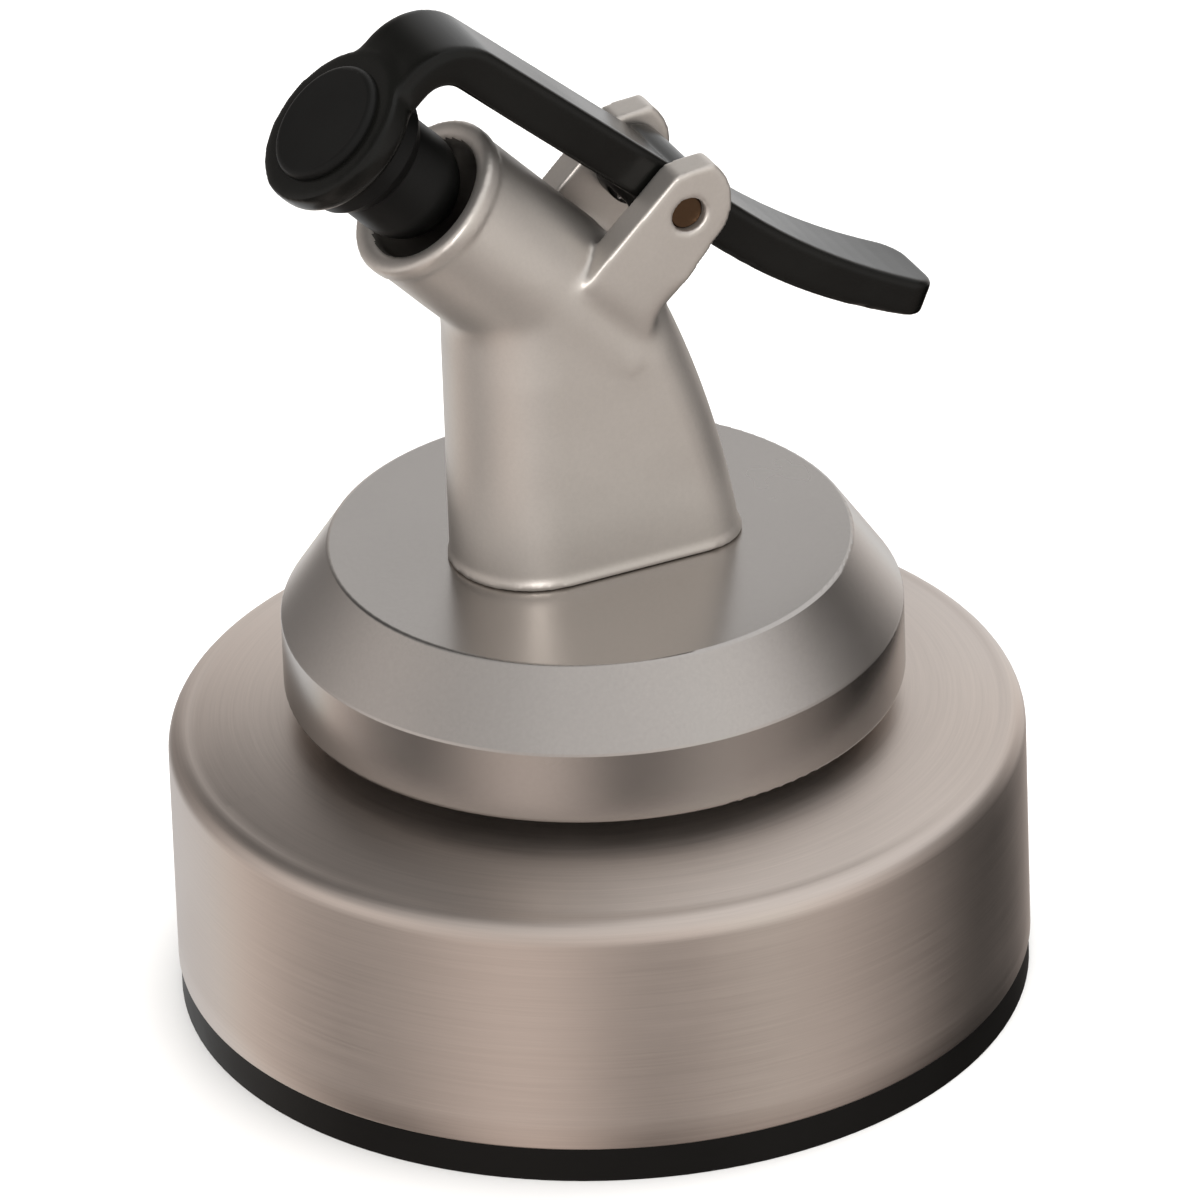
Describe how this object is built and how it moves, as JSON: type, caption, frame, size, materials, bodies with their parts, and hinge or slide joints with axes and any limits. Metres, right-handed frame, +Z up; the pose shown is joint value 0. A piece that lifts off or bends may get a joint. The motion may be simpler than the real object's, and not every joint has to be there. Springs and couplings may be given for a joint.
{
  "type": "lever pour spout lid",
  "caption": "Screw-on bottle lid with a bent open pour spout and a sprung black lever whose rubber stopper closes the spout's mouth.",
  "frame": {"origin": "centre of the cap's bottom rim, on the plane that it rests on", "axes": "+Z up along the cap's axis, the spout leans towards -X, the lever's thumb end points to +X, the hinge axis is parallel to Y"},
  "size_m": [0.042, 0.042, 0.0535],
  "materials": {
    "brushed_steel_shell": "circumferentially brushed stainless steel",
    "black_plastic": "moulded black polypropylene",
    "white_liner": "white foamed polyethylene",
    "black_rubber": "matte black rubber",
    "satin_silver": "satin silver-grey lacquer on a zinc casting",
    "clear_silicone": "translucent silicone",
    "plain_steel": "plain stainless steel",
    "bronze_pin": "dark bronzed steel",
    "spring_steel": "drawn spring wire",
    "satin_black": "satin black moulded plastic",
    "stopper_rubber": "matte black rubber"
  },
  "bodies": {
    "lid": {"cap_shell": "brushed_steel_shell", "inner_cap": "black_plastic", "cap_liner": "white_liner", "deck_gasket": "black_rubber", "base_disc": "satin_silver", "stem_seal": "clear_silicone", "stem_washer": "plain_steel", "stem_nut": "plain_steel", "spout_body": "satin_silver", "neck_seal": "clear_silicone", "clamp_plate": "plain_steel", "neck_screws": "plain_steel", "vent_tube": "plain_steel", "pivot_pin": "bronze_pin", "return_spring": "spring_steel"},
    "lever_arm": {"lever": "satin_black", "stopper": "stopper_rubber"}
  },
  "joints": [
    {"name": "lever_hinge", "type": "hinge", "parent": "lid", "child": "lever_arm", "pos_m": [0.00396, 0, 0.04256], "axis": [0, 1, 0], "range_deg": [0, 28], "stiffness_Nm_per_rad": 0.012, "springref_deg": -51.57, "deforming": ["return_spring"]}
  ]
}
